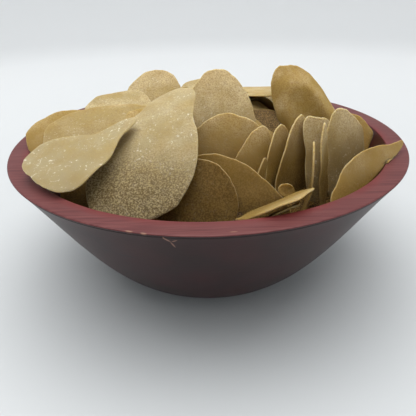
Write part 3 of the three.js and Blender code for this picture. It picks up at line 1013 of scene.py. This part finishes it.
def dried_sago():
    """Dried sago starch, spread wet and sun dried: matt, faintly translucent, grainy, with starch dust."""
    material, tree, shader = new_material("sun_dried_sago_starch")
    place = add_node(tree, "ShaderNodeTexCoord", {}, "Object")
    marks = {}
    for mark in ("tone", "frost", "edge", "sugar", "painted_depth_shade"):
        marks[mark] = add_node(tree, "ShaderNodeAttribute", {}, "Fac", attribute_name=mark)
    grains = add_node(tree, "ShaderNodeTexNoise", {
        "Vector": place, "Scale": per_metre(GRAIN_MM), "Detail": 2.0, "Roughness": 0.6,
    })
    body = sago_sheet(tree, place, grains, marks)
    body = starch_dust(tree, place, marks, body)
    body = sugary_end(tree, grains, marks, body)

    # Painted highlight: the last half millimetre of the sheet, where the thin edge catches the light, is
    # mixed towards pale.
    painted_edge_highlight = add_node(tree, "ShaderNodeMapRange", {0: marks["edge"], 1: 0.982, 2: 0.996, 3: 0.0, 4: 0.12})
    colour = add_node(tree, "ShaderNodeMix", {0: painted_edge_highlight, 6: body, 7: linear("#e6d9b4")}, 2, data_type="RGBA")
    tree.links.new(colour, shader.inputs["Base Color"])

    roughness = add_node(tree, "ShaderNodeMapRange", {0: grains, 1: 0.35, 2: 0.65, 3: 0.48, 4: 0.68})
    tree.links.new(roughness, shader.inputs["Roughness"])
    shader.inputs["IOR"].default_value = 1.5
    shader.inputs["Specular IOR Level"].default_value = 0.12
    shader.inputs["Subsurface Weight"].default_value = 1.0
    shader.inputs["Subsurface Radius"].default_value = (1.0, 0.86, 0.5)
    shader.inputs["Subsurface Scale"].default_value = LIGHT_REACH_MM * MM

    depth = add_node(tree, "ShaderNodeMapRange", {0: marks["sugar"], 3: 0.3, 4: 0.9})
    pits = add_node(tree, "ShaderNodeBump", {"Height": grains, "Strength": depth, "Distance": 0.3 * MM})
    swells = add_node(tree, "ShaderNodeTexNoise", {
        "Vector": place, "Scale": per_metre(SWELL_MM), "Detail": 2.0,
    })
    relief = add_node(tree, "ShaderNodeBump", {
        "Height": swells, "Strength": 0.4, "Distance": 0.6 * MM, "Normal": pits,
    })
    tree.links.new(relief, shader.inputs["Normal"])
    return material


sago = dried_sago()
print("dried sago:", len(sago.node_tree.nodes), "nodes")

# %% [markdown]
# ### Stained and waxed hardwood
#
# The bowl is a close-grained hardwood, stained a dark mahogany red-brown and waxed. The outer wall is
# almost black-red and shines where it turns away, so it has a thin clear coat. Hands and dust have worn
# the flat rim to a dusty rose with the grain showing as streaks, redder along its inner edge. The grain
# runs straight across the whole bowl, as it does in a bowl cut from a plank. One branched scratch, a
# fine dark crack and a few bare flecks are drawn as long thin spots placed on the wall.

# %% Scratches and flecks
WEAR_MARKS = {
    "bare": (
        ((-21.0, -125.1, 90.4), (-16.4, -122.6, 86.2), 0.5),
        ((-17.2, -123.0, 87.0), (-15.1, -119.9, 81.3), 0.45),
        ((-16.8, -122.9, 86.6), (-13.6, -124.6, 88.6), 0.35),
        ((-37.0, -121.1, 91.4), (-32.4, -122.4, 91.4), 0.4),
        ((-30.0, -123.1, 91.3), (-26.4, -124.0, 91.3), 0.35),
        ((8.0, -124.3, 91.4), (12.6, -124.0, 91.4), 0.4),
    ),
    "crack": (
        ((-58.6, -96.6, 67.7), (-48.6, -101.5, 67.0), 0.55),
        ((-49.6, -101.2, 67.0), (-34.2, -107.6, 67.4), 0.5),
    ),
}


SPOT_DEPTH = 2.0


def wear_spot(tree, place, start, stop, half_width):
    """1 on the line between two points in millimetres, 0 from half_width away: coordinates are centred
    and turned to lie along the line and divided by its half sizes, and a spherical gradient reads them."""
    start, stop = Vector(start) * MM, Vector(stop) * MM
    turn = (stop - start).to_track_quat("X", "Z").to_euler()
    sizes = ((stop - start).length / 2, half_width * MM, SPOT_DEPTH * MM)
    local = add_node(tree, "ShaderNodeMapping", {
        "Vector": place, "Location": (start + stop) / 2, "Rotation": turn, "Scale": sizes,
    }, vector_type="TEXTURE")
    return add_node(tree, "ShaderNodeTexGradient", {"Vector": local}, "Fac", gradient_type="SPHERICAL")


print({finish: len(spots) for finish, spots in WEAR_MARKS.items()}, "spots of wear")

# %% [markdown]
# The stain lies deep in the walls, with slow redder patches and a soft grain. On the rim the grain
# shows as streaks, drawn at 1.4 mm, coarser than real pores, which wouldn't show. Wax over wood has an
# IOR of about 1.5. A bump along the grain stands for the pores.

# %% Stained wood
GRAIN_LENGTH_MM = 34.0
GRAIN_WIDTH_MM = 1.4
FIGURE_MM = 24.0


def stained_wood():
    """A close-grained hardwood, turned, stained mahogany red-brown and waxed to a satin finish."""
    material, tree, shader = new_material("waxed_mahogany_stained_hardwood")
    place = add_node(tree, "ShaderNodeTexCoord", {}, "Object")
    marks = {}
    for mark in ("rim", "groove", "inside", "out"):
        marks[mark] = add_node(tree, "ShaderNodeAttribute", {}, "Fac", attribute_name=mark)
    along_grain = (per_metre(GRAIN_LENGTH_MM), per_metre(GRAIN_WIDTH_MM), per_metre(GRAIN_WIDTH_MM))
    fibres = add_node(tree, "ShaderNodeMapping", {"Vector": place, "Scale": along_grain})
    grain = add_node(tree, "ShaderNodeTexNoise", {
        "Vector": fibres, "Scale": 1.0, "Detail": 4.0, "Distortion": 1.2,
    })
    figure = add_node(tree, "ShaderNodeTexNoise", {
        "Vector": place, "Scale": per_metre(FIGURE_MM), "Detail": 3.0,
    })
    figured = add_node(tree, "ShaderNodeMapRange", {0: figure, 1: 0.35, 2: 0.65})
    grained = add_node(tree, "ShaderNodeMapRange", {0: grain, 1: 0.35, 2: 0.65})

    # Walls: nearly black-red outside, a little warmer inside.
    wall = add_node(tree, "ShaderNodeMix", {
        0: figured, 6: linear("#200606"), 7: linear("#300a0b"),
    }, 2, data_type="RGBA")
    soft_grain = add_node(tree, "ShaderNodeMath", {0: grained, 1: 0.3}, operation="MULTIPLY")
    for share, shade in ((soft_grain, "#2a1717"), (marks["inside"], "#33110e")):
        wall = add_node(tree, "ShaderNodeMix", {0: share, 6: wall, 7: linear(shade)}, 2, data_type="RGBA")

    # Rim: worn rose with streaks of grain, and red where the stain is kept along the inner edge.
    rose = add_node(tree, "ShaderNodeMix", {
        0: grained, 6: linear("#58292a"), 7: linear("#6e3d3b"),
    }, 2, data_type="RGBA")
    kept = add_node(tree, "ShaderNodeMapRange", {0: marks["out"], 1: 0.45, 2: 0.0})
    kept = add_node(tree, "ShaderNodeMath", {0: kept, 1: figured}, operation="MULTIPLY")
    rose = add_node(tree, "ShaderNodeMix", {0: kept, 6: rose, 7: linear("#6e2625")}, 2, data_type="RGBA")
    colour = add_node(tree, "ShaderNodeMix", {0: marks["rim"], 6: wall, 7: rose}, 2, data_type="RGBA")
    # Painted shade: the groove under the rim is painted nearly black.
    colour = add_node(tree, "ShaderNodeMix", {
        0: marks["groove"], 6: colour, 7: linear("#160b0c"),
    }, 2, data_type="RGBA")

    # Wear: every spot is laid over what is there, with an edge that fades.
    for finish, shade in (("crack", linear("#120a0a")), ("bare", linear("#8f6a58"))):
        for start, stop, half_width in WEAR_MARKS[finish]:
            spot = wear_spot(tree, place, start, stop, half_width)
            shown = add_node(tree, "ShaderNodeMapRange", {0: spot, 1: 0.05, 2: 0.5})
            colour = add_node(tree, "ShaderNodeMix", {0: shown, 6: colour, 7: shade}, 2, data_type="RGBA")
    tree.links.new(colour, shader.inputs["Base Color"])

    roughness = add_node(tree, "ShaderNodeMapRange", {0: marks["rim"], 3: 0.42, 4: 0.55})
    tree.links.new(roughness, shader.inputs["Roughness"])
    shader.inputs["IOR"].default_value = 1.5
    shader.inputs["Specular IOR Level"].default_value = 0.28
    shader.inputs["Coat Weight"].default_value = 0.06
    shader.inputs["Coat Roughness"].default_value = 0.22
    pores = add_node(tree, "ShaderNodeBump", {"Height": grain, "Strength": 0.35, "Distance": 0.08 * MM})
    tree.links.new(pores, shader.inputs["Normal"])
    return material


wood = stained_wood()
bowl.data.materials.append(wood)
for piece in [*pieces, core]:
    piece.data.materials.append(sago)
print("stained wood:", len(wood.node_tree.nodes), "nodes")

# %% [markdown]
# ## Floor and light
#
# A plain pale sweep of paper stands round the bowl. Its floor runs up into a wall through a wide cove,
# so that no horizon shows from any side.

# %% Sweep
STAGE_RADIUS = 1900.0
COVE_RADIUS = 700.0
STAGE_HEIGHT = 1500.0
STAGE_SIDES = 96


def stage_piece():
    """Floor disc, quarter-circle cove and upright wall, turned round the axis, faces inwards and up."""
    flat = np.column_stack([np.linspace(0, STAGE_RADIUS - COVE_RADIUS, 12)[1:], np.zeros(11)])
    cove = arc((STAGE_RADIUS - COVE_RADIUS, COVE_RADIUS), COVE_RADIUS, -90, 0, 24)[1:]
    wall = np.column_stack([np.full(4, STAGE_RADIUS), np.linspace(COVE_RADIUS, STAGE_HEIGHT, 5)[1:]])
    profile = np.vstack([flat, cove, wall])
    grid = turned_grid(profile, STAGE_SIDES)
    middle = len(profile) * STAGE_SIDES
    numbers = np.arange(middle).reshape(len(profile), STAGE_SIDES)
    ring = np.hstack([numbers, numbers[:, :1]])
    fan = np.column_stack([np.full(STAGE_SIDES, middle), ring[0, :-1], ring[0, 1:]])
    points = np.vstack([grid.reshape(-1, 3), [[0, 0, 0]]])
    faces = grid_quads(ring)[:, ::-1].tolist() + fan.tolist()
    return new_piece("stage_floor", points, faces, {})


stage = stage_piece()

# %% [markdown]
# The paper is matt and nearly white. Painted shade makes it greyer round the bowl than far away, as the
# photograph's is, by how far from the bowl a point is. One broad soft lamp hangs almost straight above,
# and the pale world fills the shadows, as in a light tent. The Standard view shows colours as they are,
# unfiltered.

# %% Paper, world and lamp
NEAR_PAPER, FAR_PAPER = 0.12, 0.9


def matt_paper():
    """Uncoated white paper, with painted shade: grey near the bowl and whiter from NEAR_PAPER to FAR_PAPER
    metres away.
    """
    material, tree, shader = new_material("matt_white_paper")
    place = add_node(tree, "ShaderNodeTexCoord", {}, "Object")
    way = add_node(tree, "ShaderNodeVectorMath", {0: place}, "Value", operation="LENGTH")
    # Painted shade: the paper is greyer the nearer it lies to the bowl.
    far = add_node(tree, "ShaderNodeMapRange", {0: way, 1: NEAR_PAPER, 2: FAR_PAPER})
    colour = add_node(tree, "ShaderNodeMix", {
        0: far, 6: linear("#c6c9ca"), 7: linear("#eceeef"),
    }, 2, data_type="RGBA")
    tree.links.new(colour, shader.inputs["Base Color"])
    shader.inputs["Roughness"].default_value = 0.6
    return material


stage.data.materials.append(matt_paper())

world = bpy.data.worlds.new("pale_world")
scene.world = world
world.use_nodes = True
world.node_tree.nodes["Background"].inputs["Color"].default_value = linear("#f4f6f8")
world.node_tree.nodes["Background"].inputs["Strength"].default_value = 0.33


def soft_lamp(name, place, aim, size, watts):
    """A square lamp that looks from place to aim, both in millimetres."""
    data = bpy.data.lights.new(name, "AREA")
    data.size = size * MM
    data.energy = watts
    lamp = bpy.data.objects.new(name, data)
    turn = (Vector(aim) - Vector(place)).to_track_quat("-Z", "Y")
    lamp.matrix_world = Matrix.Translation(Vector(place) * MM) @ turn.to_matrix().to_4x4()
    scene.collection.objects.link(lamp)
    print(f"{name}: {size} mm wide, {place[2]} mm up")


soft_lamp("overhead_softbox", place=(-60, -60, 1300), aim=(0, 0, 60), size=1500, watts=25)
scene.view_settings.view_transform = "Standard"

# %% [markdown]
# ## Joined to the frame
#
# Every piece rides on the root, and the plain solid of the frame that it stands for is hidden. Its finish
# was given with the materials. Nothing on a bowl of crisps moves by itself, so all ride on the root.

# %% Ride and replace
for piece in [*pieces, core]:
    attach(piece, "root")
    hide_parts("crisp_heap")
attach(bowl, "root")
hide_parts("bowl")
